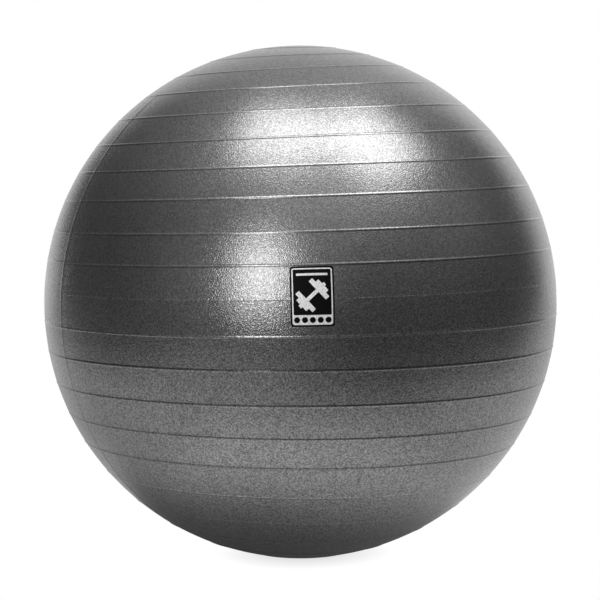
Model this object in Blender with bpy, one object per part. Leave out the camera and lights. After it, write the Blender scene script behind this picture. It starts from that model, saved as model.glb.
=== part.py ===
"""Ribbed anti-burst exercise ball: a hollow PVC skin, its moulded-in valve seat, the push-in air plug
and a small printed mark. Metres, +Z up, the contact patch lies on z = 0 and the mark faces -Y."""

from math import acos, asin, atan, cos, degrees, pi, radians, sin, sqrt

import bmesh
import bpy
from mathutils import Vector

# Fit between meshes that touch on the real ball
GAP = 0.0003

# Ball
BALL_RADIUS = 0.275
SKIN_THICKNESS = 0.001
CONTACT_RADIUS = 0.031      # flat patch that the ball's own weight presses onto the floor
RIB_HEIGHT = 0.0005
RIB_WIDTH = 0.0026
BALL_SIDES = 48

# Latitudes of the ribs in degrees, on each side of the mould's parting line. The pitch widens
# towards both ends, where the skin is stretched most, and it wanders a little from rib to rib.
PARTING_LATITUDE = 4.52
RIBS_ABOVE = (11.45, 18.15, 25.6, 32.65, 39.85, 47.6, 55.65, 63.6, 71.8, 80.3)
RIBS_BELOW = (-2.9, -9.85, -17.35, -24.9, -32.3, -40.75, -50.05, -59.15, -68.7, -78.3)

# Valve seat
SEAT_RIM = 0.0018           # seat rim around the recess for the plug's head
SEAT_EDGE = 0.0003          # chamfer on that rim
SEAT_FLANGE = 0.007         # how far the welded flange reaches under the skin
SEAT_FLANGE_THICKNESS = 0.0015
SEAT_DEPTH = 0.014
SEAT_WALL = 0.0042
BORE_RADIUS = 0.0046
VALVE_SIDES = 32

# Air plug
PLUG_HEAD_RADIUS = 0.0075
PLUG_HEAD_THICKNESS = 0.0018
PLUG_HEAD_BEVEL = 0.0004
PLUG_SINK = 0.0002          # the head's top lies this far under the seat rim
PRY_GAP = 0.001             # room for a fingernail around the head
PLUG_LENGTH = 0.019
PLUG_NECK = 0.001           # how much slimmer than its sealing beads the stem is
PLUG_TIP_RADIUS = 0.0022
PLUG_TIP_LENGTH = 0.003
BEAD_LENGTH = 0.003
BEAD_DEPTHS = (0.0035, 0.0095)

# Printed mark
PRINT_THICKNESS = 0.0003
LABEL_WIDTH = 0.042
LABEL_HEIGHT = 0.0575
LABEL_CORNER = 0.0027
LABEL_CLEARANCE = 0.0004    # from the mark's top edge to the foot of the rib over it
KEYLINE_INSET = 0.0017
KEYLINE_WIDTH = 0.0012
BAND_HEIGHT = 0.0094
BAR_WIDTH = 0.030
BAR_HEIGHT = 0.0022
BAR_MARGIN = 0.0038
DUMBBELL = ((0.0165, 0.0018), (0.0145, 0.007), (0.011, 0.0118), (0.0065, 0.0018))  # edge, half height
DUMBBELL_TILT = 42  # degrees
DOT_COUNT = 5
DOT_RADIUS = 0.0029
WRAP_PITCH = 0.007          # the flat print is cut this fine before it is wrapped round the ball
ARC_STEPS = 5

# Sizes that follow
CENTRE_HEIGHT = sqrt(BALL_RADIUS ** 2 - CONTACT_RADIUS ** 2)
INNER_RADIUS = BALL_RADIUS - SKIN_THICKNESS
RECESS_RADIUS = PLUG_HEAD_RADIUS + PRY_GAP
RECESS_DEPTH = PLUG_SINK + PLUG_HEAD_THICKNESS + GAP
SEAT_RADIUS = RECESS_RADIUS + SEAT_RIM
HOLE_RADIUS = SEAT_RADIUS + GAP
SEAT_TOP = sqrt(BALL_RADIUS ** 2 - HOLE_RADIUS ** 2)
BEAD_RADIUS = BORE_RADIUS - GAP
STEM_RADIUS = BEAD_RADIUS - PLUG_NECK
RIB_HALF_ANGLE = degrees(RIB_WIDTH / 2 / BALL_RADIUS)

SILVER_GREY = (0.10, 0.10, 0.102)
VALVE_GREY = (0.13, 0.13, 0.132)
PLUG_WHITE = (0.72, 0.72, 0.70)
INK_BLACK = (0.006, 0.006, 0.006)
INK_SILVER = (0.58, 0.58, 0.57)


def clear_scene():
    for obj in list(bpy.data.objects):
        bpy.data.objects.remove(obj, do_unlink=True)


def material(name, colour, roughness, metallic=0.0):
    made = bpy.data.materials.new(name)
    made.use_nodes = True
    shader = made.node_tree.nodes["Principled BSDF"]
    shader.inputs["Base Color"].default_value = (*colour, 1)
    shader.inputs["Roughness"].default_value = roughness
    shader.inputs["Metallic"].default_value = metallic
    return made


def add_object(name, bm, finish, parent, smooth):
    """The finished bmesh as an object under its parent."""
    bmesh.ops.recalc_face_normals(bm, faces=bm.faces[:])
    mesh = bpy.data.meshes.new(name)
    bm.to_mesh(mesh)
    bm.free()
    mesh.materials.append(finish)
    for face in mesh.polygons:
        face.use_smooth = smooth
    obj = bpy.data.objects.new(name, mesh)
    bpy.context.collection.objects.link(obj)
    obj.parent = parent
    return obj


def add_empty(name, place, parent=None):
    empty = bpy.data.objects.new(name, None)
    empty.location = place
    empty.parent = parent
    bpy.context.collection.objects.link(empty)
    return empty


def turned(profile, sides, closed):
    """A bmesh of the (radius, height) profile spun round Z."""
    bm = bmesh.new()
    verts = [bm.verts.new((radius, 0, height)) for radius, height in profile]
    ends = list(zip(verts, verts[1:]))
    if closed:
        ends.append((verts[-1], verts[0]))
    edges = [bm.edges.new(pair) for pair in ends]
    bmesh.ops.spin(bm, geom=verts + edges, cent=(0, 0, 0), axis=(0, 0, 1), angle=2 * pi, steps=sides,
                   use_merge=True)
    bmesh.ops.remove_doubles(bm, verts=bm.verts[:], dist=1e-6)
    return bm


def on_arc(latitude, radius):
    return radius * cos(radians(latitude)), radius * sin(radians(latitude))


def outer_profile():
    """The outside of the skin from the contact patch to the valve hole, with a bead at each rib."""
    foot = -degrees(acos(CONTACT_RADIUS / BALL_RADIUS))
    rim = degrees(acos(HOLE_RADIUS / BALL_RADIUS))
    points = [on_arc(foot, BALL_RADIUS)]
    before = foot
    for latitude in (*reversed(RIBS_BELOW), PARTING_LATITUDE, *RIBS_ABOVE):
        points.append(on_arc((before + latitude) / 2, BALL_RADIUS))
        if latitude != PARTING_LATITUDE:
            points.append(on_arc(latitude - RIB_HALF_ANGLE, BALL_RADIUS))
            points.append(on_arc(latitude, BALL_RADIUS + RIB_HEIGHT))
            points.append(on_arc(latitude + RIB_HALF_ANGLE, BALL_RADIUS))
        else:
            points.append(on_arc(latitude, BALL_RADIUS))
        before = latitude
    points.append(on_arc((before + rim) / 2, BALL_RADIUS))
    points.append(on_arc(rim, BALL_RADIUS))
    return points


def inner_profile():
    """The inside of the skin from the valve hole down to the floor patch."""
    rim = degrees(acos(HOLE_RADIUS / INNER_RADIUS))
    floor_height = CENTRE_HEIGHT - SKIN_THICKNESS
    floor = -degrees(asin(floor_height / INNER_RADIUS))
    ribs = (*reversed(RIBS_ABOVE), PARTING_LATITUDE, *RIBS_BELOW)
    stations = [rim, (rim + ribs[0]) / 2, *ribs, floor]
    return [on_arc(latitude, INNER_RADIUS) for latitude in stations]


def add_ball_skin(parent):
    """One hollow rotationally moulded shell, open only at the valve hole."""
    outside = [(0, -CENTRE_HEIGHT), *outer_profile()]
    inside = [*inner_profile(), (0, SKIN_THICKNESS - CENTRE_HEIGHT)]
    finish = material("silver_grey_pvc", SILVER_GREY, roughness=0.38, metallic=0.55)
    return add_object("ball_skin", turned(outside + inside, BALL_SIDES, False), finish, parent, True)


def under_skin(radius):
    """Height over the ball's centre of a surface that clears the inside of the skin."""
    return sqrt(INNER_RADIUS ** 2 - radius ** 2) - GAP


def add_valve_seat(parent):
    """Soft bush welded into the skin's hole: a rim, a recess for the plug's head, a flange and a bore."""
    flange_radius = SEAT_RADIUS + SEAT_FLANGE
    boss_radius = BORE_RADIUS + SEAT_WALL
    flange_top = under_skin(flange_radius) - SEAT_TOP
    flange_bottom = flange_top - SEAT_FLANGE_THICKNESS
    profile = [
        (RECESS_RADIUS, -RECESS_DEPTH),
        (RECESS_RADIUS, 0),
        (SEAT_RADIUS - SEAT_EDGE, 0),
        (SEAT_RADIUS, -SEAT_EDGE),
        (SEAT_RADIUS, under_skin(SEAT_RADIUS) - SEAT_TOP),
        (flange_radius, flange_top),
        (flange_radius, flange_bottom),
        (boss_radius, flange_bottom),
        (boss_radius, -SEAT_DEPTH),
        (BORE_RADIUS, -SEAT_DEPTH),
        (BORE_RADIUS, -RECESS_DEPTH),
    ]
    finish = material("soft_pvc_valve", VALVE_GREY, roughness=0.5)
    return add_object("valve_seat", turned(profile, VALVE_SIDES, True), finish, parent, False)


def add_air_plug(parent):
    """Push-in stopper: a thin round head on a stem with sealing beads and a tapered tip."""
    head_bottom = -PLUG_HEAD_THICKNESS
    tip = head_bottom - PLUG_LENGTH
    profile = [
        (0, 0),
        (PLUG_HEAD_RADIUS - PLUG_HEAD_BEVEL, 0),
        (PLUG_HEAD_RADIUS, -PLUG_HEAD_BEVEL),
        (PLUG_HEAD_RADIUS, head_bottom + PLUG_HEAD_BEVEL),
        (PLUG_HEAD_RADIUS - PLUG_HEAD_BEVEL, head_bottom),
        (STEM_RADIUS, head_bottom),
    ]
    for depth in BEAD_DEPTHS:
        top = head_bottom - depth
        profile.append((STEM_RADIUS, top))
        profile.append((BEAD_RADIUS, top - BEAD_LENGTH / 3))
        profile.append((BEAD_RADIUS, top - BEAD_LENGTH / 2))
        profile.append((STEM_RADIUS, top - BEAD_LENGTH))
    profile += [(STEM_RADIUS, tip + PLUG_TIP_LENGTH), (PLUG_TIP_RADIUS, tip), (0, tip)]
    finish = material("plug_polythene", PLUG_WHITE, roughness=0.42)
    plug = add_object("air_plug", turned(profile, VALVE_SIDES, False), finish, parent, False)
    plug.location = (0, 0, -PLUG_SINK)
    return plug


def rounded_rectangle(width, height, corner, middle=0.0):
    """Points of a rounded rectangle centred on x = 0 and y = middle."""
    points = []
    for turn, (side, end) in enumerate(((1, 1), (-1, 1), (-1, -1), (1, -1))):
        x = side * (width / 2 - corner)
        y = middle + end * (height / 2 - corner)
        for step in range(ARC_STEPS + 1):
            angle = (turn + step / ARC_STEPS) * pi / 2
            points.append((x + corner * cos(angle), y + corner * sin(angle)))
    return points


def circle(radius, x, y, steps):
    angles = [2 * pi * i / steps for i in range(steps)]
    return [(x + radius * cos(angle), y + radius * sin(angle)) for angle in angles]


def dumbbell(middle):
    """Outline of a tilted dumbbell: bar tips, small outer plates, large inner ones and the bar."""
    quarter = [DUMBBELL[0]]
    for (_, before), (edge, half_height) in zip(DUMBBELL, DUMBBELL[1:]):
        quarter += [(edge, before), (edge, half_height)]
    upper = quarter + [(-x, z) for x, z in reversed(quarter)]
    outline = upper + [(x, -z) for x, z in reversed(upper)]
    across, up = cos(radians(DUMBBELL_TILT)), sin(radians(DUMBBELL_TILT))
    return [(x * across - z * up, middle + x * up + z * across) for x, z in outline]


def wrapped(outlines, layer):
    """A thin solid of the flat outlines (outer first, then holes) wrapped on the ball facing -Y."""
    bm = bmesh.new()
    for outline in outlines:
        verts = [bm.verts.new((x, 0, y)) for x, y in outline]
        for start, end in zip(verts, verts[1:] + verts[:1]):
            bm.edges.new((start, end))
    bmesh.ops.triangle_fill(bm, edges=bm.edges[:], use_beauty=True)
    across = max(abs(x) for x, _ in outlines[0])
    upward = max(abs(y) for _, y in outlines[0])
    for reach, normal in ((across, Vector((1, 0, 0))), (upward, Vector((0, 0, 1)))):
        cuts = int(reach / WRAP_PITCH)
        for i in range(-cuts, cuts + 1):
            geometry = bm.verts[:] + bm.edges[:] + bm.faces[:]
            bmesh.ops.bisect_plane(bm, geom=geometry, dist=1e-6, plane_co=normal * i * WRAP_PITCH,
                                   plane_no=normal)
    inner = BALL_RADIUS + GAP + layer * (GAP + PRINT_THICKNESS)
    bottom = bm.verts[:]
    raised = bmesh.ops.extrude_face_region(bm, geom=bm.faces[:], use_keep_orig=True)
    top = [item for item in raised["geom"] if isinstance(item, bmesh.types.BMVert)]
    for verts, radius in ((bottom, inner), (top, inner + PRINT_THICKNESS)):
        for vert in verts:
            direction = Vector((vert.co.x / BALL_RADIUS, -1, vert.co.z / BALL_RADIUS)).normalized()
            vert.co = direction * radius
    return bm


def add_printed_mark(parent):
    """Black ground, silver frame with a dotted band, a dumbbell and a short bar over it."""
    half_height = atan(LABEL_HEIGHT / 2 / BALL_RADIUS)
    rib_foot = radians(RIBS_ABOVE[0] - RIB_HALF_ANGLE)
    latitude = rib_foot - LABEL_CLEARANCE / BALL_RADIUS - half_height
    black = material("black_ink", INK_BLACK, roughness=0.3)
    silver = material("silver_ink", INK_SILVER, roughness=0.35, metallic=0.3)

    frame_width = LABEL_WIDTH - 2 * KEYLINE_INSET
    frame_height = LABEL_HEIGHT - 2 * KEYLINE_INSET
    window_top = frame_height / 2 - KEYLINE_WIDTH
    band_top = -frame_height / 2 + BAND_HEIGHT
    window = rounded_rectangle(frame_width - 2 * KEYLINE_WIDTH, window_top - band_top,
                               LABEL_CORNER / 2, (window_top + band_top) / 2)
    dot_pitch = (frame_width - KEYLINE_WIDTH) / DOT_COUNT
    dots = []
    for i in range(DOT_COUNT):
        place = (i - (DOT_COUNT - 1) / 2) * dot_pitch
        dots.append(circle(DOT_RADIUS, place, band_top - BAND_HEIGHT / 2, 4 * ARC_STEPS))

    bar_middle = window_top - BAR_MARGIN - BAR_HEIGHT / 2
    bar_bottom = bar_middle - BAR_HEIGHT / 2
    emblem_middle = (bar_bottom + band_top) / 2

    pieces = {
        "label_ground": ([rounded_rectangle(LABEL_WIDTH, LABEL_HEIGHT, LABEL_CORNER)], 0, black),
        "label_frame": ([rounded_rectangle(frame_width, frame_height, LABEL_CORNER), window, *dots], 1, silver),
        "label_emblem": ([dumbbell(emblem_middle)], 1, silver),
        "label_bar": ([rounded_rectangle(BAR_WIDTH, BAR_HEIGHT, BAR_HEIGHT / 3, bar_middle)], 1, silver),
    }
    for name, (outlines, layer, finish) in pieces.items():
        piece = add_object(name, wrapped(outlines, layer), finish, parent, False)
        piece.rotation_euler = (-latitude, 0, 0)


clear_scene()
ball_centre = add_empty("ball_centre", (0, 0, CENTRE_HEIGHT))
valve_axis = add_empty("valve_axis", (0, 0, SEAT_TOP), ball_centre)
add_ball_skin(ball_centre)
add_valve_seat(valve_axis)
add_air_plug(valve_axis)
add_printed_mark(ball_centre)
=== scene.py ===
# %% [markdown]
# # An exercise ball, finished for the studio
# The engineering model already holds the ball's sizes, its valve and its one moving piece, the air plug.
# This notebook loads that model as a fixed frame and builds the fine skin, the print, the valve and the
# light around it. Everything stays in metres and in the frame's own place, so nothing is fitted by eye.

# %% Load the frame
from math import cos, degrees, pi, radians, sin, sqrt

import bmesh
import bpy
import numpy as np
from mathutils import Matrix, Vector


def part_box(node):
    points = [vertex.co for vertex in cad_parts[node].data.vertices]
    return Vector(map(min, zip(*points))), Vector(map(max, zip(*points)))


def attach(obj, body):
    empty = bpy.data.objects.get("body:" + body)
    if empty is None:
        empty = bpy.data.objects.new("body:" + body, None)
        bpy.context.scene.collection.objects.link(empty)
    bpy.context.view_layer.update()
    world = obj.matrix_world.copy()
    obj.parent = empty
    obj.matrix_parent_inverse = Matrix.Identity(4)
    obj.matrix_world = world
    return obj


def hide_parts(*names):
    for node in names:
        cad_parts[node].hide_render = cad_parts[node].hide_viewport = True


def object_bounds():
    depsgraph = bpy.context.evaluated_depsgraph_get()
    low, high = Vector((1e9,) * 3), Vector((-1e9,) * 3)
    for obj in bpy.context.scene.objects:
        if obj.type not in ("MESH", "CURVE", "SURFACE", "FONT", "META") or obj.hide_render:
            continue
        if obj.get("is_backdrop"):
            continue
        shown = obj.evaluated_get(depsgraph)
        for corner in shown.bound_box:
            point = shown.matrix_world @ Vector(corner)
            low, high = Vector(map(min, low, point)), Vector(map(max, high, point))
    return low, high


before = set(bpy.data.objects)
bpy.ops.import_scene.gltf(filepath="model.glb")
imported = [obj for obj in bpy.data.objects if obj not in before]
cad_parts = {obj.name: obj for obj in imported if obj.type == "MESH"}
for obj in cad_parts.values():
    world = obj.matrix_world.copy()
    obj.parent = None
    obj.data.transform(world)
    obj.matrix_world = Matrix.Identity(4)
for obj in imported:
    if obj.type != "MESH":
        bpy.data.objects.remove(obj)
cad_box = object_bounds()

# %% [markdown]
# ## Where the ball is
# Low ribs run round the ball, level with the floor. They are counted from the mould's parting line, a
# little over the equator, and their pitch widens towards both poles, where the skin is stretched most.
# It also wanders from rib to rib, as it does on any hand-finished mould, so a short table holds them
# all. The ball's radius and the height of its centre come out of the frame's boxes.

# %% Ball sizes from the frame
RIB_HEIGHT = 0.0005
RIB_WIDTH = 0.0026
SKIN_THICKNESS = 0.001
HOLE_RADIUS = 0.0106        # the hole that the valve bush is welded into
PARTING_LATITUDE = 4.52     # degrees, as all of these
RIBS_ABOVE = (11.45, 18.15, 25.6, 32.65, 39.85, 47.6, 55.65, 63.6, 71.8, 80.3)
RIBS_BELOW = (-2.9, -9.85, -17.35, -24.9, -32.3, -40.75, -50.05, -59.15, -68.7, -78.3)

rib_latitudes = np.array([*reversed(RIBS_BELOW), PARTING_LATITUDE, *RIBS_ABOVE])
rib_indices = np.arange(len(rib_latitudes)) - len(RIBS_BELOW)
skin_low, skin_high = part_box("ball_skin")
widest = (skin_high.x - skin_low.x) / 2
BALL_RADIUS = widest / cos(radians(RIBS_BELOW[0])) - RIB_HEIGHT
CENTRE = Vector((0, 0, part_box("valve_seat")[1].z - sqrt(BALL_RADIUS ** 2 - HOLE_RADIUS ** 2)))
print("ball radius", round(BALL_RADIUS, 5), "centre height", round(CENTRE.z, 5))

# %% [markdown]
# ## The camera
# A long lens looks at the ball from a little over its middle, about eight ball radii away, which keeps
# its outline a near-perfect circle. A distance, two angles and a small roll place the camera, and a
# look-at rotation aims it. That is easier to read and to change than a rotation typed in by hand.

# %% Place the camera
LENS = 119.0
DISTANCE = 7.803 * BALL_RADIUS
CAMERA_AZIMUTH = -2.4       # degrees, so the print sits a little to the right of the middle
CAMERA_ELEVATION = 4.12
CAMERA_ROLL = -0.91
AIM_FROM_CENTRE = (-0.0004, 0, 0.0019)


def add_camera():
    """The camera on its sphere round the ball's centre."""
    azimuth, elevation = radians(CAMERA_AZIMUTH), radians(CAMERA_ELEVATION)
    away = Vector((sin(azimuth) * cos(elevation), -cos(azimuth) * cos(elevation), sin(elevation)))
    data = bpy.data.cameras.new("studio_camera")
    data.lens = LENS
    data.clip_end = 100
    camera = bpy.data.objects.new("studio_camera", data)
    bpy.context.collection.objects.link(camera)
    camera.location = CENTRE + away * DISTANCE
    aim = CENTRE + Vector(AIM_FROM_CENTRE) - camera.location
    turn = aim.to_track_quat("-Z", "Y").to_matrix() @ Matrix.Rotation(radians(CAMERA_ROLL), 3, "Z")
    camera.rotation_euler = turn.to_euler()
    bpy.context.scene.camera = camera
    return camera


print("camera at", [round(c, 3) for c in add_camera().location])

# %% [markdown]
# ## The shape of the skin
# Each rib is a bead a third of a millimetre high, moulded in one with the skin. Between two ribs the
# skin lies a touch flatter than a true sphere, so reflections break at every rib. Where two halves of
# the mould meet there is a hair-thin line, and another one runs upright on the left. The ribs also fan
# out a little from side to side, since no such ball stretches evenly, and the floor presses a flat
# patch under it. One function of latitude and longitude holds all that, so the print can lie on it too.

# %% Skin radius at a latitude and longitude
PANEL_SAG = 0.00010
RIB_SHARE = 0.72            # the moulded crests stand this much of the rib's full height
PARTING_HEIGHT = 0.00012
PARTING_WIDTH = 0.0011
SEAM_LONGITUDE = -154.9
SEAM_HEIGHT = 0.0002
SEAM_WIDTH = 0.0014
SEAM_END = 60               # degrees of latitude where the upright line has run out
SEAM_FADE = 10
FAN_TILT = 2.27             # degrees that the rib planes lean at the poles
FAN_FADE_FROM = 62.0
FLOOR_ROUNDING = 0.0006


def bead(distance, width, height):
    """Height of a rounded bead of this full width, at a distance from its middle."""
    share = np.clip(np.abs(distance) / (width / 2), 0, 1)
    return height * 0.5 * (1 + np.cos(pi * share))


def skin_radius(latitude, longitude):
    """Distance of the skin's outside from the ball's centre."""
    along = np.interp(latitude, rib_latitudes, rib_indices)
    part = along - np.floor(along)
    radius = BALL_RADIUS - PANEL_SAG * 4 * part * (1 - part)
    for index, place in zip(rib_indices, rib_latitudes):
        distance = np.radians(latitude - place) * BALL_RADIUS
        if index:
            radius = radius + bead(distance, RIB_WIDTH, RIB_HEIGHT * RIB_SHARE)
        else:
            radius = radius + bead(distance, PARTING_WIDTH, PARTING_HEIGHT)
    sideways = np.radians(longitude - SEAM_LONGITUDE) * BALL_RADIUS * np.cos(np.radians(latitude))
    upright = np.clip((SEAM_END - np.abs(latitude)) / SEAM_FADE, 0, 1)
    return radius + bead(sideways, SEAM_WIDTH, SEAM_HEIGHT) * upright


def on_ball(latitude, longitude, radius):
    """Points at these latitudes, longitudes and radii, with the ribs' fan and the floor patch put in."""
    lat, lon = np.radians(latitude), np.radians(longitude)
    x, y, z = np.cos(lat) * np.cos(lon), np.cos(lat) * np.sin(lon), np.sin(lat)
    fade = np.clip((90 - np.abs(latitude)) / (90 - FAN_FADE_FROM), 0, 1)
    tilt = -radians(FAN_TILT) * z * fade * fade * (3 - 2 * fade)
    across, up = x * np.cos(tilt) + z * np.sin(tilt), z * np.cos(tilt) - x * np.sin(tilt)
    points = np.stack([across, y, up], -1) * np.asarray(radius)[..., None]
    over = points[..., 2] + CENTRE.z
    points[..., 2] = (over + np.sqrt(over ** 2 + FLOOR_ROUNDING ** 2)) / 2
    return points


crest = skin_radius(RIBS_ABOVE[0], 0) - BALL_RADIUS
print("a rib's crest stands", round(float(crest) * 1000, 2), "mm over the sphere")

# %% [markdown]
# ## Where the mesh needs its points
# A rib is under 3 mm wide and the plain skin between two ribs is 34 mm, so an even grid would waste most
# of its points or miss the ribs. The rows are listed instead: nine across each rib, three between
# two. A Subdivision or Displace modifier would need an even grid first, and many times as many faces.

# %% Rows and columns of the skin mesh
COLUMNS = 256
LOWEST_ROW = -89.4
FOOT_ROWS = 14              # from there to the lowest rib
CAP_ROWS = 6                # from the highest rib to the valve hole
SEAM_CLEARING = 0.5         # degrees to each side of the upright mould line without even columns
ROW_STEPS = np.array([-0.0025, -0.0019, -0.0013, -0.0007, 0, 0.0007, 0.0013, 0.0019, 0.0025])
FINE_STEPS = np.array([-0.0009, -0.0005, -0.00025, 0, 0.00025, 0.0005, 0.0009])
PANEL_SHARES = (0.25, 0.5, 0.75)


def skin_rows():
    """Latitudes of the mesh rows: close together over each rib, sparse between two."""
    rows = []
    for index, place in zip(rib_indices, rib_latitudes):
        rows += list(place + np.degrees((ROW_STEPS if index else FINE_STEPS) / BALL_RADIUS))
    for low, high in zip(rib_latitudes, rib_latitudes[1:]):
        rows += [low + (high - low) * share for share in PANEL_SHARES]
    rows.sort()
    rim = degrees(np.arccos(HOLE_RADIUS / BALL_RADIUS))
    rows += list(np.linspace(rows[-1], rim, CAP_ROWS)[1:])
    rows += list(np.linspace(LOWEST_ROW, rows[0], FOOT_ROWS)[:-1])
    return np.array(sorted(rows))


def skin_columns():
    """Longitudes of the mesh columns, with a few extra ones at the upright mould line."""
    even = np.arange(COLUMNS) * 360 / COLUMNS - 180
    extra = SEAM_LONGITUDE + np.degrees(FINE_STEPS / BALL_RADIUS)
    kept = even[np.abs(even - SEAM_LONGITUDE) > SEAM_CLEARING]
    return np.sort(np.concatenate([kept, extra]))


print(len(skin_rows()), "rows by", len(skin_columns()), "columns")

# %% [markdown]
# ## Meshes from rings
# The skin, the valve bush and the plug are all stacks of rings. One helper joins neighbouring rings with
# quads and closes a stack with a point or by joining its last ring to its first. Blender's Screw or Spin
# would do for the turned pieces, but not for a skin whose rings are not quite round, so all share this.

# %% Ring helper


def from_rings(name, rings, looped=False):
    """A smooth closed mesh through rings of equal length; a ring of one point closes an end."""
    verts, starts = [], []
    for ring in rings:
        starts.append((len(verts), len(ring)))
        verts += [tuple(point) for point in ring]
    pairs = list(zip(starts, starts[1:])) + ([(starts[-1], starts[0])] if looped else [])
    faces = []
    for (low, low_count), (high, high_count) in pairs:
        count = max(low_count, high_count)
        for i in range(count):
            j = (i + 1) % count
            if low_count == 1:
                faces.append((low, high + j, high + i))
            elif high_count == 1:
                faces.append((low + i, low + j, high))
            else:
                faces.append((low + i, low + j, high + j, high + i))
    mesh = bpy.data.meshes.new(name)
    mesh.from_pydata(verts, [], faces)
    mesh.update()
    mesh.shade_smooth()
    obj = bpy.data.objects.new(name, mesh)
    bpy.context.collection.objects.link(obj)
    return obj


def turned(name, profile, sides, height, looped):
    """A piece turned round the valve's axis from (radius, height) points."""
    angles = np.arange(sides) * 2 * pi / sides
    rings = []
    for radius, z in profile:
        if radius == 0:
            rings.append([(0, 0, height + z)])
        else:
            rings.append([(radius * cos(a), radius * sin(a), height + z) for a in angles])
    return from_rings(name, rings, looped)


print("ring helpers ready")

# %% [markdown]
# ## The hollow skin
# The skin is one closed shell: up the outside from the floor patch to the valve hole, and back down the
# inside, a millimetre further in. Four values are stored on its points for the finish to read, because
# they depend on how far a row is from its rib: the parting line, the rib itself, its crest, which gets a
# painted highlight, and the crease beside it, which gets painted shade: under the ribs above the middle
# and over those below it, on the sides turned away from the light.

# %% Build the skin
FOOT_LIFT = 0.00005         # the floor patch clears the floor by this
LINING_ROW_STEP = 12        # the plain inside needs only every twelfth row
CREST_OFFSET = 0.0002
CREASE_OFFSET = 0.0013
MARK_SPREAD = 0.0006
LOWER_CREASE_SPREAD = 0.0008
UPPER_CREASE = 0.6          # how dark the painted shade in the creases above the middle is, against that below it
CREASED_BELOW = (-35, -5)   # degrees of latitude of the ribs below the middle that get painted shade over them
RIB_MARK_REACH = 1.6        # in half widths of a rib


def mark_rows(skin, name, values, columns, inner_rows):
    """Store one value for each outer ring of the skin, for its finish to read."""
    values = np.concatenate([[0], np.repeat(values, columns), np.zeros(inner_rows * columns + 1)])
    skin.data.attributes.new(name, "FLOAT", "POINT").data.foreach_set("value", values)


def swell(distance, spread):
    """1 at no distance, falling off softly to both sides."""
    return np.exp(-(distance / spread) ** 2)


def row_marks(rows):
    """The four values of each row that the finish reads."""
    ribs = np.array(RIBS_ABOVE + RIBS_BELOW)
    nearest = ribs[np.abs(rows[:, None] - ribs).argmin(1)]
    over_rib = np.radians(rows - nearest) * BALL_RADIUS
    over_parting = np.radians(rows - PARTING_LATITUDE) * BALL_RADIUS
    creased = (CREASED_BELOW[0] < nearest) & (nearest < CREASED_BELOW[1])
    # painted shade beside the ribs: under those above the middle and over some of those below it, on the
    # sides turned away from the light
    under = UPPER_CREASE * swell(over_rib + CREASE_OFFSET, MARK_SPREAD)
    over = swell(over_rib - CREASE_OFFSET, LOWER_CREASE_SPREAD) * creased
    return {
        "parting": swell(over_parting, MARK_SPREAD),
        "rib": np.clip(RIB_MARK_REACH - np.abs(over_rib) / (RIB_WIDTH / 2), 0, 1),
        # crest: where the painted highlight along the top of each rib above the middle goes
        "crest": swell(over_rib - CREST_OFFSET, MARK_SPREAD) * (nearest > 0),
        "crease": np.where(nearest > 0, under, over),
    }


def add_skin():
    """The hollow PVC skin: outside from the floor patch to the valve hole, then back down inside."""
    rows, columns = skin_rows(), skin_columns()
    outside = [on_ball(lat, columns, skin_radius(lat, columns)) for lat in rows]
    lining = BALL_RADIUS - SKIN_THICKNESS
    inside = [on_ball(lat, columns, np.full(len(columns), lining)) for lat in rows[::-LINING_ROW_STEP]]
    for ring in inside:
        ring[:, 2] = np.maximum(ring[:, 2], SKIN_THICKNESS)
    foot, floor = [(0, 0, FOOT_LIFT)], [(0, 0, SKIN_THICKNESS)]
    skin = from_rings("ball_skin_fine", [foot, *outside, *inside, floor])
    for name, values in row_marks(rows).items():
        mark_rows(skin, name, values, len(columns), len(inside))
    return skin


skin = add_skin()
print(len(skin.data.polygons), "faces in the skin")

# %% [markdown]
# ## A way to write finishes
# A finish is a small graph of shader nodes. Written as calls that add and join nodes it is hard to read,
# so one small class wraps a socket and takes part in plain arithmetic: `grain * 0.3 + 0.7` adds the two
# Math nodes that it needs. Any other node comes from one method, which sets the node up before it joins
# its sockets. Numbers that are the same all over a piece stay plain numbers on the shader itself.

# %% Shader arithmetic


class Wire:
    """A node's output that can be added, multiplied and fed to other nodes."""

    def __init__(self, tree, socket):
        self.tree = tree
        self.socket = socket

    def node(self, kind, settings=None, inputs=None, output=0):
        """Add a node in this tree, set it up, fill or link its inputs and return one of its outputs."""
        made = self.tree.nodes.new("ShaderNode" + kind)
        for setting, value in (settings or {}).items():
            if setting == "stops":
                set_stops(made, value)
            else:
                setattr(made, setting, value)
        for place, value in (inputs or {}).items():
            if isinstance(value, Wire):
                self.tree.links.new(value.socket, made.inputs[place])
            else:
                made.inputs[place].default_value = value
        return Wire(self.tree, made.outputs[output])

    def maths(self, operation, other=0.0):
        """A Math node of this value and another one."""
        return self.node("Math", {"operation": operation}, {0: self, 1: other})

    def __add__(self, other):
        return self.maths("ADD", other)

    def __sub__(self, other):
        return self.maths("SUBTRACT", other)

    def __rsub__(self, other):
        return self.node("Math", {"operation": "SUBTRACT"}, {0: other, 1: self})

    def __mul__(self, other):
        return self.maths("MULTIPLY", other)

    def __truediv__(self, other):
        return self.maths("DIVIDE", other)

    def far(self, other):
        """Length of the flat step that this and the other value make together."""
        return (self * self + other * other).maths("SQRT")

    def above(self, edge, softness):
        """0 under the edge, 1 over it, with a soft step this wide between the two."""
        limits = {"Value": self, "From Min": edge - softness / 2, "From Max": edge + softness / 2}
        return self.node("MapRange", {"interpolation_type": "SMOOTHSTEP"}, limits)

    def ramp(self, stops):
        """The values of the stops, at and between their places."""
        return self.node("ValToRGB", {"stops": stops}, {"Fac": self})


def set_stops(node, stops):
    """Put the (place, brightness) stops on a colour ramp."""
    elements = node.color_ramp.elements
    while len(elements) < len(stops):
        elements.new(0.5)
    for element, (place, brightness) in zip(elements, stops):
        element.position = place
        element.color = (brightness, brightness, brightness, 1)


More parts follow.
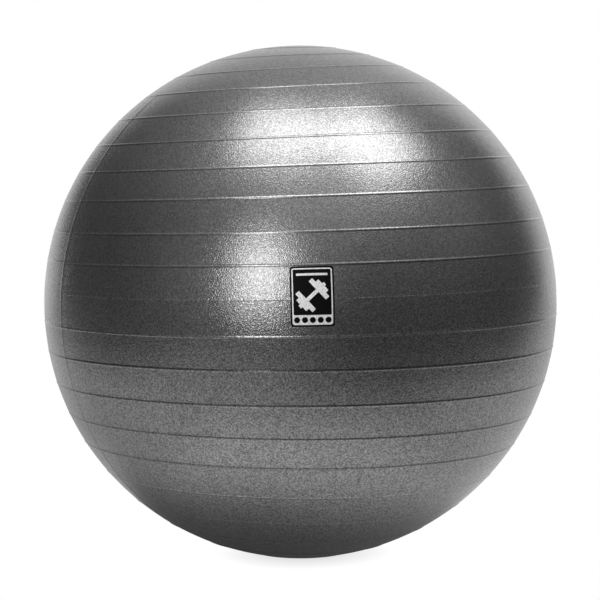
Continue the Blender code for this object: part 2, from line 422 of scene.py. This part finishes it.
def new_finish(name, colour, roughness, metallic=0.0, **sockets):
    """A material with one Principled shader, and a Wire in its tree that gives each piece's own place."""
    made = bpy.data.materials.new(name)
    made.use_nodes = True
    shader = made.node_tree.nodes["Principled BSDF"]
    shader.inputs["Base Color"].default_value = (*colour, 1)
    shader.inputs["Roughness"].default_value = roughness
    shader.inputs["Metallic"].default_value = metallic
    for socket, value in sockets.items():
        shader.inputs[socket.replace("_", " ")].default_value = value
    start = Wire(made.node_tree, None)
    place = start.node("TexCoord", output="Object")
    return made, shader, place


def feed(shader, socket, wire):
    wire.tree.links.new(wire.socket, shader.inputs[socket])


def speckle(place, scale, detail=2.0, roughness=0.6):
    """Fine noise over a piece, with this many features to the metre."""
    inputs = {"Vector": place, "Scale": scale, "Detail": detail, "Roughness": roughness}
    return place.node("TexNoise", None, inputs)


def bumped(shader, height, depth):
    """Tilt the surface by a height field, whose full swing is this deep in metres."""
    inputs = {"Height": height, "Distance": depth, "Strength": 1.0}
    feed(shader, "Normal", height.node("Bump", None, inputs))


print("shader helpers ready")

# %% [markdown]
# ## The skin's finish
# The skin is PVC with a pearl of fine aluminium flake in it. Such a pigment reflects the room softly, as
# a dull metal does, and hardly scatters any light of its own, so the shader is almost wholly metallic.
# The surface took the mould's fine pebble, which a noise bump gives: highlights break up into bright and
# dark grains about a millimetre across. The flakes show as cells of even brightness, from a Voronoi
# texture, because noise alone is too soft for them. A faint cloudiness keeps the grey from looking even.
# The crests of the ribs above the middle get a painted highlight, and the creases beside the ribs get
# painted shade, both in the base colour.

# %% Finish of the skin
SKIN_GREY = 0.19
SKIN_ROUGHNESS = 0.24
SKIN_METALLIC = 0.98
PEBBLES_PER_METRE = 720.0
PEBBLE_DEPTH = 0.00024
FLAKES_PER_METRE = 880.0
FLAKE_CONTRAST = 0.75
LOWER_CONTRAST = 0.62       # added to it on the lower half, where no light hides the flakes
LOWER_SOFTNESS = 0.15       # metres over which that comes in
CLOUDS_PER_METRE = 9.0
CLOUD_CONTRAST = 0.3
SPECKS_PER_METRE = 420.0
SPECK_BRIGHTNESS = 0.5      # of the rubbed specks along the parting line
SPECK_STEP = (0.56, 0.08)   # the noise that shows as a speck, and the softness of its edge
RIB_POLISH = 0.75           # how much of the pebble is missing on top of a rib
CREST_HIGHLIGHT = 0.5            # how much brighter the painted highlight makes the crest of a rib
CREASE_SHADE = 0.64          # how much darker the painted shade makes the crease beside a rib
CLOUD_HAZE = 0.06           # roughness that the clouds and the pebbles each add or take away
PEBBLE_HAZE = 0.08


def add_skin_finish():
    finish, shader, place = new_finish("pearl_grey_pvc", (SKIN_GREY,) * 3, SKIN_ROUGHNESS, SKIN_METALLIC)
    parting, rib, crest, crease = [place.node("Attribute", {"attribute_name": name}, output="Fac")
                                   for name in ("parting", "rib", "crest", "crease")]
    height = place.node("SeparateXYZ", None, {0: place}, output="Z")
    pebble = speckle(place, PEBBLES_PER_METRE, 1.0, 0.6)
    flake = place.node("TexVoronoi", None, {"Vector": place, "Scale": FLAKES_PER_METRE}, output="Color")
    cloud = speckle(place, CLOUDS_PER_METRE, 3.0, 0.5)
    contrast = (CENTRE.z - height).above(0, LOWER_SOFTNESS) * LOWER_CONTRAST + FLAKE_CONTRAST
    pearl = (flake - 0.5) * contrast + (cloud - 0.5) * CLOUD_CONTRAST + 1
    specks = parting * speckle(place, SPECKS_PER_METRE, 1.0, 0.5).above(*SPECK_STEP)
    # painted highlight on the rib crests and painted shade in the creases beside the ribs, put into the base
    # colour
    pearl_with_painted_ribs = pearl * (crest * CREST_HIGHLIGHT + 1) * (1 - crease * CREASE_SHADE)
    feed(shader, "Base Color", (pearl_with_painted_ribs + specks * SPECK_BRIGHTNESS) * SKIN_GREY)
    least = SKIN_ROUGHNESS - (CLOUD_HAZE + PEBBLE_HAZE) / 2
    feed(shader, "Roughness", cloud * CLOUD_HAZE + pebble * PEBBLE_HAZE + least)
    bumped(shader, (pebble - 0.5) * (1 - rib * RIB_POLISH), PEBBLE_DEPTH)
    return finish


def dress(piece, finish, body, node):
    """Give a piece its finish, hang it on the body that it rides on and hide the engineering part that it
    replaces.
    """
    piece.data.materials.append(finish)
    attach(piece, body)
    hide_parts(node)


dress(skin, add_skin_finish(), "ball", "ball_skin")
print("skin finish:", [n.name for n in skin.data.materials[0].node_tree.nodes][:6])

# %% [markdown]
# ## The valve bush
# A soft bush is welded into the skin at the top: a rim, a recess where the plug's head sits flush, a
# flange under the skin and a bore down the middle. All of it is round, so one outline spun about the
# axis makes it. Moulded edges are never sharp, so a helper rounds every corner of the outline first.

# %% Turned outlines
SEAT_CLEARANCE = 0.00005
SEAT_FLANGE_THICKNESS = 0.0015
RECESS_RADIUS = 0.0085
RECESS_DEPTH = 0.0023
BORE_RADIUS = 0.0046
SEAT_WALL = 0.0042
UNDER_SKIN_GAP = 0.0002     # between the skin's inside and the flange
NECK_FILLET = 0.0004
EDGE_ROUNDING = 0.0005
CORNER_SHARE = 0.45         # of an edge that the curve at one corner may take up
TURNED_SIDES = 96


def rounded(points, reach, looped=False, steps=4):
    """The outline with each corner swapped for a small curve that starts this far from it."""
    done = []
    for i, corner in enumerate(points):
        if not looped and i in (0, len(points) - 1):
            done.append(corner)
            continue
        corner = Vector(corner)
        before = Vector(points[i - 1]) - corner
        after = Vector(points[(i + 1) % len(points)]) - corner
        start = corner + before.normalized() * min(reach, before.length * CORNER_SHARE)
        end = corner + after.normalized() * min(reach, after.length * CORNER_SHARE)
        for step in range(steps + 1):
            share = step / steps
            done.append(tuple(start.lerp(corner, share).lerp(corner.lerp(end, share), share)))
    return done


def add_valve_bush():
    low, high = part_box("valve_seat")
    flange = high.x
    seat = HOLE_RADIUS - SEAT_CLEARANCE
    under = sqrt((BALL_RADIUS - SKIN_THICKNESS) ** 2 - flange ** 2) + CENTRE.z - high.z - UNDER_SKIN_GAP
    outline = [
        (RECESS_RADIUS, -RECESS_DEPTH),
        (RECESS_RADIUS, 0),
        (seat, 0),
        (seat, under + NECK_FILLET),
        (flange, under),
        (flange, under - SEAT_FLANGE_THICKNESS),
        (BORE_RADIUS + SEAT_WALL, under - SEAT_FLANGE_THICKNESS),
        (BORE_RADIUS + SEAT_WALL, low.z - high.z),
        (BORE_RADIUS, low.z - high.z),
        (BORE_RADIUS, -RECESS_DEPTH),
    ]
    return turned("valve_bush", rounded(outline, EDGE_ROUNDING, looped=True), TURNED_SIDES, high.z, True)


valve_bush = add_valve_bush()
print("valve bush", [round(c * 1000, 1) for c in valve_bush.dimensions], "mm")

# %% [markdown]
# ## The air plug
# The plug is pushed in by a thumb and picked out with a fingernail. It has a thin head with a shallow
# dish, a stem with two sealing beads and a tapered tip that finds the bore. It is turned the same way,
# and it rides on its own body, so it lifts out of the bush while the rest stays.

# %% Plug
PLUG_HEAD_THICKNESS = 0.0018
PLUG_DISH = 0.0004
DISH_SHARE = 0.55           # radii of the dish and of its lip, as shares of the head's
LIP_SHARE = 0.68
HEAD_EDGE_DROP = 0.0001
BEAD_RADIUS = 0.0043
STEM_RADIUS = 0.0033
TIP_RADIUS = 0.0022
TIP_LENGTH = 0.003
BEAD_DEPTHS = (0.0035, 0.0095)
BEAD_LENGTH = 0.003
BEAD_CREST = (0.3, 0.5)     # where along its length a bead is at its widest
PLUG_ROUNDING = 0.0006


def add_stopper():
    low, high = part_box("air_plug")
    head, tip = high.x, low.z - high.z
    outline = [
        (0, -PLUG_DISH),
        (head * DISH_SHARE, -PLUG_DISH),
        (head * LIP_SHARE, 0),
        (head, -HEAD_EDGE_DROP),
        (head, -PLUG_HEAD_THICKNESS),
        (STEM_RADIUS, -PLUG_HEAD_THICKNESS),
    ]
    for depth in BEAD_DEPTHS:
        top = -PLUG_HEAD_THICKNESS - depth
        crest = [(BEAD_RADIUS, top - BEAD_LENGTH * share) for share in BEAD_CREST]
        outline += [(STEM_RADIUS, top), *crest, (STEM_RADIUS, top - BEAD_LENGTH)]
    outline += [(STEM_RADIUS, tip + TIP_LENGTH), (TIP_RADIUS, tip), (0, tip)]
    return turned("stopper", rounded(outline, PLUG_ROUNDING)[::-1], TURNED_SIDES, high.z, False)


stopper = add_stopper()
print("stopper", [round(c * 1000, 1) for c in stopper.dimensions], "mm")

# %% [markdown]
# ## Finishes of the bush and the plug
# The bush is plain soft PVC of the ball's grey, without flake, so it is duller and a little darker. The
# plug is natural polythene, waxy rather than glossy, and a darker white than in daylight, since the
# lights right over it are set for a dark ball. A faint mottle in the roughness is enough for both,
# because neither is larger than a coin.

# %% Bush and plug finishes
FINE_GRAIN = 900.0          # grains to the metre, in the plastics and in the inks
MOULDED_DEPTH = 0.00002


def add_plain_finish(name, colour, roughness, mottle):
    """A moulded plastic whose sheen varies a little from place to place."""
    finish, shader, place = new_finish(name, colour, roughness)
    grain = speckle(place, FINE_GRAIN)
    feed(shader, "Roughness", grain * mottle + (roughness - mottle / 2))
    bumped(shader, grain, MOULDED_DEPTH)
    return finish


dress(valve_bush, add_plain_finish("soft_grey_pvc", (0.115, 0.115, 0.117), 0.46, 0.12),
      "ball", "valve_seat")
dress(stopper, add_plain_finish("white_polythene", (0.36, 0.36, 0.35), 0.42, 0.10),
      "plug", "air_plug")

# %% [markdown]
# ## The printed mark
# A small mark is screen printed in two inks, black first and silver over it: a frame with a dotted band
# along its foot, a tilted dumbbell and a plain bar. An image would need flat coordinates on a round skin,
# so each ink is a real shape: drawn flat, cut into small cells and wrapped onto the skin's own surface,
# a few hundredths of a millimetre up. It crosses the parting line and follows that too.

# %% Outlines of the mark
LABEL_WIDTH = 0.042
LABEL_HEIGHT = 0.0575
LABEL_CORNER = 0.0027
KEYLINE_INSET = 0.0017
KEYLINE_WIDTH = 0.0012
BAND_HEIGHT = 0.0094
BAR_WIDTH = 0.030
BAR_HEIGHT = 0.0022
BAR_MARGIN = 0.0038
DUMBBELL = ((0.0165, 0.0018), (0.0145, 0.007), (0.011, 0.0118), (0.0065, 0.0018))  # edge, half height
DUMBBELL_TILT = 42          # degrees
DUMBBELL_ROUNDING = 0.0007
DOT_COUNT = 5
DOT_RADIUS = 0.0029


def rounded_box(width, height, corner, middle=0.0):
    half_width, half_height = width / 2, height / 2
    corners = [(half_width, middle + half_height), (-half_width, middle + half_height),
               (-half_width, middle - half_height), (half_width, middle - half_height)]
    return rounded(corners, corner, looped=True, steps=6)


def round_dot(radius, x, z, sides=40):
    return [(x + radius * cos(a), z + radius * sin(a)) for a in np.arange(sides) * 2 * pi / sides]


def dumbbell(middle):
    """Outline of a tilted dumbbell: bar tips, small outer plates, large inner ones and the bar."""
    quarter = [DUMBBELL[0]]
    for (_, before), (edge, half_height) in zip(DUMBBELL, DUMBBELL[1:]):
        quarter += [(edge, before), (edge, half_height)]
    upper = quarter + [(-x, z) for x, z in reversed(quarter)]
    outline = upper + [(x, -z) for x, z in reversed(upper)]
    across, up = cos(radians(DUMBBELL_TILT)), sin(radians(DUMBBELL_TILT))
    tilted = [(x * across - z * up, middle + x * up + z * across) for x, z in outline]
    return rounded(tilted, DUMBBELL_ROUNDING, looped=True)


FRAME_WIDTH = LABEL_WIDTH - 2 * KEYLINE_INSET
FRAME_HEIGHT = LABEL_HEIGHT - 2 * KEYLINE_INSET
WINDOW_TOP = FRAME_HEIGHT / 2 - KEYLINE_WIDTH
BAND_TOP = BAND_HEIGHT - FRAME_HEIGHT / 2
print("frame", round(FRAME_WIDTH * 1000, 1), "by", round(FRAME_HEIGHT * 1000, 1), "mm")

# %% [markdown]
# ## Ink that follows the skin
# A flat shape can only bend where it has edges, so it is cut along lines 1.5 mm apart, both ways, and
# then every point is carried along its own radius to the skin. Extruding it before that makes a closed
# film, as thick as real ink. A Shrinkwrap modifier could do the carrying, but it wouldn't hold the two
# sides of the film an even distance apart.

# %% Wrap a flat shape on the skin
WRAP_PITCH = 0.0015
INK_THICKNESS = 0.00005
INK_GAP = 0.00001           # under each layer of ink
INK_CREASE = 40             # degrees, so the film's edge stays crisp
mark_edges = [corner.z - CENTRE.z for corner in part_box("label_ground")]
LABEL_LATITUDE = sum(degrees(np.arcsin(z / BALL_RADIUS)) for z in mark_edges) / 2
print("the mark's middle is at latitude", round(LABEL_LATITUDE, 2))


def cut_in_cells(bm, reach, normal):
    """Cut a flat shape along evenly spaced lines, so that it can bend."""
    for i in range(-int(reach / WRAP_PITCH), int(reach / WRAP_PITCH) + 1):
        geometry = bm.verts[:] + bm.edges[:] + bm.faces[:]
        on_line = normal * i * WRAP_PITCH
        bmesh.ops.bisect_plane(bm, geom=geometry, dist=1e-7, plane_co=on_line, plane_no=normal)


def onto_skin(flat, lift):
    """Where a point of the flat mark comes to lie on the skin, this far over it."""
    turn = Matrix.Rotation(-radians(LABEL_LATITUDE), 3, "X")
    direction = turn @ Vector((flat.x / BALL_RADIUS, -1, flat.z / BALL_RADIUS)).normalized()
    latitude = degrees(np.arcsin(direction.z))
    longitude = degrees(np.arctan2(direction.y, direction.x))
    return Vector(on_ball(latitude, longitude, skin_radius(latitude, longitude) + lift))


def printed(name, outlines, layer):
    """A thin closed film of ink: the first outline with the others cut out of it, laid on the skin."""
    bm = bmesh.new()
    for outline in outlines:
        verts = [bm.verts.new((x, 0, z)) for x, z in outline]
        for start, end in zip(verts, verts[1:] + verts[:1]):
            bm.edges.new((start, end))
    bmesh.ops.triangle_fill(bm, edges=bm.edges[:], use_beauty=True)
    cut_in_cells(bm, max(abs(x) for x, _ in outlines[0]), Vector((1, 0, 0)))
    cut_in_cells(bm, max(abs(z) for _, z in outlines[0]), Vector((0, 0, 1)))
    bottom = bm.verts[:]
    raised = bmesh.ops.extrude_face_region(bm, geom=bm.faces[:], use_keep_orig=True)
    top = [item for item in raised["geom"] if isinstance(item, bmesh.types.BMVert)]
    base = INK_GAP + layer * (INK_THICKNESS + INK_GAP)
    for verts, lift in ((bottom, base), (top, base + INK_THICKNESS)):
        for vert in verts:
            vert.co = onto_skin(vert.co, lift)
    bmesh.ops.recalc_face_normals(bm, faces=bm.faces[:])
    mesh = bpy.data.meshes.new(name)
    bm.to_mesh(mesh)
    bm.free()
    mesh.shade_smooth()
    mesh.set_sharp_from_angle(angle=radians(INK_CREASE))
    obj = bpy.data.objects.new(name, mesh)
    bpy.context.collection.objects.link(obj)
    return obj


# %% [markdown]
# ## Printing it
# Black goes down first as a plain rounded rectangle. The three silver shapes lie over it, and the frame
# has its window and its dots cut out, so the black shows through as it does in a real two-ink print.

# %% Print the four shapes


def mark_outlines():
    """Outlines of each ink shape, the outer one first, and the layer it is printed in."""
    window = rounded_box(FRAME_WIDTH - 2 * KEYLINE_WIDTH, WINDOW_TOP - BAND_TOP, LABEL_CORNER / 2,
                         (WINDOW_TOP + BAND_TOP) / 2)
    pitch = (FRAME_WIDTH - KEYLINE_WIDTH) / DOT_COUNT
    dots = [round_dot(DOT_RADIUS, (i - (DOT_COUNT - 1) / 2) * pitch, BAND_TOP - BAND_HEIGHT / 2)
            for i in range(DOT_COUNT)]
    bar_middle = WINDOW_TOP - BAR_MARGIN - BAR_HEIGHT / 2
    emblem_middle = (bar_middle - BAR_HEIGHT / 2 + BAND_TOP) / 2
    return {
        "ground": ([rounded_box(LABEL_WIDTH, LABEL_HEIGHT, LABEL_CORNER)], 0),
        "frame": ([rounded_box(FRAME_WIDTH, FRAME_HEIGHT, LABEL_CORNER), window, *dots], 1),
        "emblem": ([dumbbell(emblem_middle)], 1),
        "bar": ([rounded_box(BAR_WIDTH, BAR_HEIGHT, BAR_HEIGHT / 3, bar_middle)], 1),
    }


prints = {key: printed("print_" + key, *shape) for key, shape in mark_outlines().items()}
print({key: len(piece.data.polygons) for key, piece in prints.items()})

# %% [markdown]
# ## The inks
# The black ink is deep and even and hardly shines. The silver ink is a screen of bright flake: it looks
# light grey with fine grain and keeps its brightness whichever way it faces, so it is only partly
# metallic.

# %% Ink finishes
INK_SWING = (0.5, 0.4)      # middle and softness of the step between dark and light grains


def add_ink(name, dark, light, roughness, metallic, shine, depth):
    """An ink whose brightness swings between two values from grain to grain."""
    finish, shader, place = new_finish(name, (light,) * 3, roughness, metallic, Specular_IOR_Level=shine)
    grain = speckle(place, FINE_GRAIN)
    feed(shader, "Base Color", grain.above(*INK_SWING) * (light - dark) + dark)
    bumped(shader, grain, depth)
    return finish


black_ink = add_ink("black_print", dark=0.001, light=0.003, roughness=0.45,
                    metallic=0.0, shine=0.06, depth=0.00003)
silver_ink = add_ink("silver_print", dark=0.50, light=0.82, roughness=0.42,
                     metallic=0.25, shine=0.5, depth=0.00008)
for key, piece in prints.items():
    if key == "ground":
        dress(piece, black_ink, "ball", "label_ground")
    else:
        dress(piece, silver_ink, "ball", "label_" + key)
print("inks:", black_ink.name, silver_ink.name)

# %% [markdown]
# ## The studio
# A mirror-like grey ball shows the room more than it shows itself, so the room matters. It stands on a
# pale floor in front of a white backdrop, in a dark studio. Light comes from a soft pair of panels right
# over it and from a tall soft strip in front on the left. The floor near the ball is lit, and it darkens
# under the ball and far in front. What the camera sees stays plain white. What the skin mirrors is a
# second set of surfaces that only reflections meet, so each can be shaped without spoiling the other.

# %% Surfaces that glow


def add_glow(name):
    """A plain surface that gives off light of its own, and a Wire in its tree."""
    made = bpy.data.materials.new(name)
    made.use_nodes = True
    made.node_tree.nodes.clear()
    start = Wire(made.node_tree, None)
    glow = start.node("Emission")
    out = made.node_tree.nodes.new("ShaderNodeOutputMaterial")
    made.node_tree.links.new(glow.socket, out.inputs["Surface"])
    return made, glow.socket.node, start.node("TexCoord", output="Object")


def seen_by(obj, camera=False, reflections=False):
    """Choose which rays meet a piece of the stage."""
    obj.visible_camera = camera
    obj.visible_glossy = reflections
    obj.visible_diffuse = reflections
    obj.visible_transmission = False
    obj.visible_shadow = False
    obj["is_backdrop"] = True


def add_disc(name, radius, height, sides=96):
    ring = [(radius * cos(a), radius * sin(a), height) for a in np.arange(sides) * 2 * pi / sides]
    mesh = bpy.data.meshes.new(name)
    mesh.from_pydata(ring, [], [tuple(range(sides))])
    obj = bpy.data.objects.new(name, mesh)
    bpy.context.collection.objects.link(obj)
    return obj


print("stage helpers ready")

# %% [markdown]
# ## The floor in the skin
# The lower half of the ball mirrors the floor, so the floor's light makes its shading. Two profiles of
# brightness over distance describe it: one is the ball's own shade under it, the other how quickly the
# light runs out to the sides and to the front, while it stays bright behind. A wide soft patch is where
# the tall strip light spills on the floor. Real lamps could light a real floor like this, but it would
# take many tries and a long render, and a glowing surface gives the same mirror image at once.

# %% The lit floor that the skin mirrors
LIT_FLOOR_RADIUS = 4.0
LIT_FLOOR_DROP = 0.0004     # under the ball, and under the floor that the camera sees
SHADE_CENTRE = (-0.035, 0.03)
SHADE_SPAN = 0.4
SHADE = [(0.05, 0.04), (0.11, 0.09), (0.155, 0.15), (0.185, 0.25),
         (0.215, 0.42), (0.245, 0.70), (0.285, 0.95), (0.32, 1.0)]     # metres out, brightness
REACH_SPAN = 1.6
REACH = [(0.28, 1.0), (0.33, 0.94), (0.40, 0.70), (0.50, 0.35),
         (0.65, 0.22), (0.85, 0.18), (1.4, 0.15)]
LIGHT_SHIFT = 0.03          # the lit stretch is centred this far to the left
LIGHT_WIDTH = 1.9           # and this much wider than the reach profile says
LIGHT_LEAN = 0.3            # behind the ball it runs this much to the right
LIGHT_SPREAD = 2.2          # and widens this much, for each metre
FULL_LIGHT = 1.06
SIDE_DIMMING = 0.2
SIDE_STEP = (0.045, 0.07)   # square of the distance at the middle of the step, and its softness
LEFT_DIMMING = 0.22
LEFT_STEP = (0.24, 0.15)    # this one and the others are plain distances
LEFT_END = (0.6, 0.4)
BACK_DIMMING = 0.05
BACK_STEP = (0.25, 0.5)
STRIP_POOL = (-0.44, -0.66)
POOL_RADIUS = 0.75
POOL_GLOW = 0.55
FAR_LEFT_GLOW = 0.05
FAR_LEFT_STEP = (1.2, 0.9)


def stops_over(span, profile):
    """Places of a profile as shares of the span that a ramp covers."""
    return [(distance / span, brightness) for distance, brightness in profile]


def add_lit_floor():
    """Paper that is lit round the ball and behind it, shaded under it, and dark towards the front."""
    floor = add_disc("lit_floor", LIT_FLOOR_RADIUS, -LIT_FLOOR_DROP)
    finish, glow, place = add_glow("lit_floor_paper")
    x, y, _ = [place.node("SeparateXYZ", None, {0: place}, output=axis) for axis in "XYZ"]
    behind, ahead = y.maths("MAXIMUM"), y.maths("MINIMUM")
    out = (x - SHADE_CENTRE[0]).far(y - SHADE_CENTRE[1])
    shade = (out * (1 / SHADE_SPAN)).ramp(stops_over(SHADE_SPAN, SHADE))
    sideways = (x + LIGHT_SHIFT - behind * LIGHT_LEAN) / (behind * LIGHT_SPREAD + LIGHT_WIDTH)
    reach = (sideways.far(ahead) * (1 / REACH_SPAN)).ramp(stops_over(REACH_SPAN, REACH))
    leftward = 0 - x
    left = leftward.above(*LEFT_STEP) - leftward.above(*LEFT_END)
    sides = (x * x).above(*SIDE_STEP)
    back = y.above(*BACK_STEP)
    dimmer = FULL_LIGHT - sides * SIDE_DIMMING - back * BACK_DIMMING - left * LEFT_DIMMING
    near_pool = POOL_RADIUS - (x - STRIP_POOL[0]).far(y - STRIP_POOL[1])
    pool = near_pool.above(POOL_RADIUS / 2, POOL_RADIUS) * POOL_GLOW
    far_left = leftward.above(*FAR_LEFT_STEP) * FAR_LEFT_GLOW
    feed(glow, "Color", shade * reach * dimmer + pool + far_left)
    floor.data.materials.append(finish)
    seen_by(floor, reflections=True)
    return floor


print("lit floor:", add_lit_floor().name)

# %% [markdown]
# ## The room in the skin
# The upper half mirrors the room. Its brightness depends only on direction, so the world's own shader is
# the place for it: a dark front, paler towards the ceiling, and a white backdrop behind whose edges are
# set by their angle from straight behind. Three soft halos are the haze that each lamp's housing gives.
# A ready-made panorama would bring in a whole room and its objects, and could not be adjusted.

# %% The room that the skin mirrors
BACKDROP_LEFT = -42.0       # degrees from straight behind
BACKDROP_RIGHT = 47.0
BACKDROP_TAPER = 17.0       # degrees that its left edge draws in over the horizon
TAPER_STEP = (0.12, 0.16)   # sine of the height at the middle of the step, and its softness, as below
BACKDROP_LEAN = 7.0         # and its right edge, higher up
LEAN_STEP = (0.30, 0.20)
BACKDROP_SOFTNESS = 0.14
BACKDROP_WHITE = 1.03       # its brightness at the foot
UPPER_FADING = 0.07
UPPER_STEP = (0.10, 0.30)
TOP_FADING = 0.12
TOP_STEP = (0.56, 0.24)
RIGHT_GAIN = 0.4            # how much brighter its upper part gets to the right
GAIN_STEP = (0.20, 0.30)
ROOM_GAIN = 0.35            # and the room's, to the front right
HEIGHT_GLOW = [(0.0, 0.16), (0.26, 0.20), (0.5, 0.26), (0.64, 0.38), (0.76, 0.55), (0.87, 0.80), (0.95, 1.0)]
HALOS = [                   # towards, cosine at its half-bright edge, softness, brightness
    ((0.28, -0.42, 0.86), 0.88, 0.20, 0.44),        # spill of the overhead pair
    ((-0.45, -0.85, 0.25), 0.80, 0.36, 0.22),       # round the strip
    ((0.80, -0.12, 0.58), 0.955, 0.08, 0.17),       # right of the overhead pair
]


def add_room():
    """Brightness of the room by direction: dark in front, paler upwards, white behind."""
    world = bpy.data.worlds.new("studio_room")
    world.use_nodes = True
    tree = world.node_tree
    toward = Wire(tree, None).node("TexCoord", output="Generated")
    x, y, z = [toward.node("SeparateXYZ", None, {0: toward}, output=axis) for axis in "XYZ"]
    azimuth = x.maths("ARCTAN2", y)
    high = z.above(*GAIN_STEP)
    front_right = x * 0.8 - y * 0.6
    left_edge = azimuth - z.above(*TAPER_STEP) * radians(BACKDROP_TAPER)
    right_edge = azimuth + z.above(*LEAN_STEP) * radians(BACKDROP_LEAN)
    from_left = left_edge.above(radians(BACKDROP_LEFT), BACKDROP_SOFTNESS)
    from_right = 1 - right_edge.above(radians(BACKDROP_RIGHT), BACKDROP_SOFTNESS)
    fading = BACKDROP_WHITE - z.above(*UPPER_STEP) * UPPER_FADING - z.above(*TOP_STEP) * TOP_FADING
    backdrop = from_left * from_right * (x * high * RIGHT_GAIN + 1) * fading
    room = z.ramp(HEIGHT_GLOW) * (front_right * high * ROOM_GAIN + 1)
    for way, edge, softness, brightness in HALOS:
        way = Vector(way).normalized()
        room = room + (x * way.x + y * way.y + z * way.z).above(edge, softness) * brightness
    lit = room.maths("MAXIMUM", backdrop)
    tree.links.new(lit.socket, tree.nodes["Background"].inputs["Color"])
    bpy.context.scene.world = world
    return world


print("room:", add_room().name)

# %% [markdown]
# ## The lamps
# Three area lights stand where their mirror images lie on the ball: two squares overhead that run into
# one another, and a tall oval in front on the left. Each faces the spot on the skin that mirrors it, and
# its power comes from the brightness that it should show there, so its size can change by itself. Point
# or spot lights would leave small hard dots on a skin this shiny.

# %% Soft lights


def add_panel(name, place, facing, size, radiance, shape="RECTANGLE"):
    """A soft panel of even glow at a place round the ball's centre, facing another such place."""
    data = bpy.data.lights.new(name, "AREA")
    data.shape = shape
    data.size, data.size_y = size
    area = size[0] * size[1] * (pi / 4 if shape == "ELLIPSE" else 1)
    data.energy = radiance * area * pi
    light = bpy.data.objects.new(name, data)
    bpy.context.collection.objects.link(light)
    light.location = CENTRE + Vector(place)
    light.rotation_euler = (Vector(place) - Vector(facing)).to_track_quat("Z", "Y").to_euler()
    light.visible_camera = False
    return light


panels = [
    add_panel("overhead_left", (-0.13, -0.36, 1.19), (-0.03, -0.18, 0.2), (0.58, 0.57), 4.4),
    add_panel("overhead_right", (0.50, -0.34, 1.16), (0.08, -0.18, 0.2), (0.61, 0.62), 5.0),
    add_panel("strip_left", (-0.465, -1.43, 0.385), (-0.045, -0.266, 0.054), (0.54, 0.90), 5.3, "ELLIPSE"),
]
print("watts:", {panel.name: round(panel.data.energy, 1) for panel in panels})

# %% [markdown]
# ## What the camera sees
# Behind the ball is plain white, with only a small soft shadow where it stands. A floor and a dome that
# glow evenly give that from every side. They are hidden from reflections, so they don't light the skin.

# %% Floor and backdrop that the camera sees
WHITE_FLOOR_RADIUS = 12.0
WHITE_FLOOR_DROP = 0.0002
CONTACT_SHADE = [(0.0, 0.5), (0.0042, 0.8), (0.006, 1.0)]     # share of the floor's radius, brightness


def add_white_floor():
    """Paper with a soft shadow round the spot where the ball stands."""
    floor = add_disc("white_floor", WHITE_FLOOR_RADIUS, -WHITE_FLOOR_DROP)
    finish, glow, place = add_glow("white_floor_paper")
    reach = place.node("VectorMath", {"operation": "LENGTH"}, {0: place}, output="Value")
    feed(glow, "Color", (reach * (1 / WHITE_FLOOR_RADIUS)).ramp(CONTACT_SHADE))
    floor.data.materials.append(finish)
    seen_by(floor, camera=True)
    return floor


def add_white_surround():
    """A white dome far away, so that every view of the ball has a plain ground."""
    bm = bmesh.new()
    bmesh.ops.create_uvsphere(bm, u_segments=48, v_segments=24, radius=WHITE_FLOOR_RADIUS)
    mesh = bpy.data.meshes.new("white_surround")
    bm.to_mesh(mesh)
    bm.free()
    dome = bpy.data.objects.new("white_surround", mesh)
    bpy.context.collection.objects.link(dome)
    mesh.materials.append(add_glow("white_surround_cloth")[0])
    seen_by(dome, camera=True)
    return dome


print("stage:", add_white_floor().name, add_white_surround().name)

# %% [markdown]
# ## Finish up
# Standard colour keeps whites white, which suits a plain studio shot. The sizes of the engineering model
# and of this finer one are printed side by side, so anyone can compare them.

# %% Colour, sizes and finish
bpy.context.scene.view_settings.view_transform = "Standard"
fine_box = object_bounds()
for name, (low, high) in (("cad", cad_box), ("fine", fine_box)):
    print(name, [round(side, 4) for side in high - low])
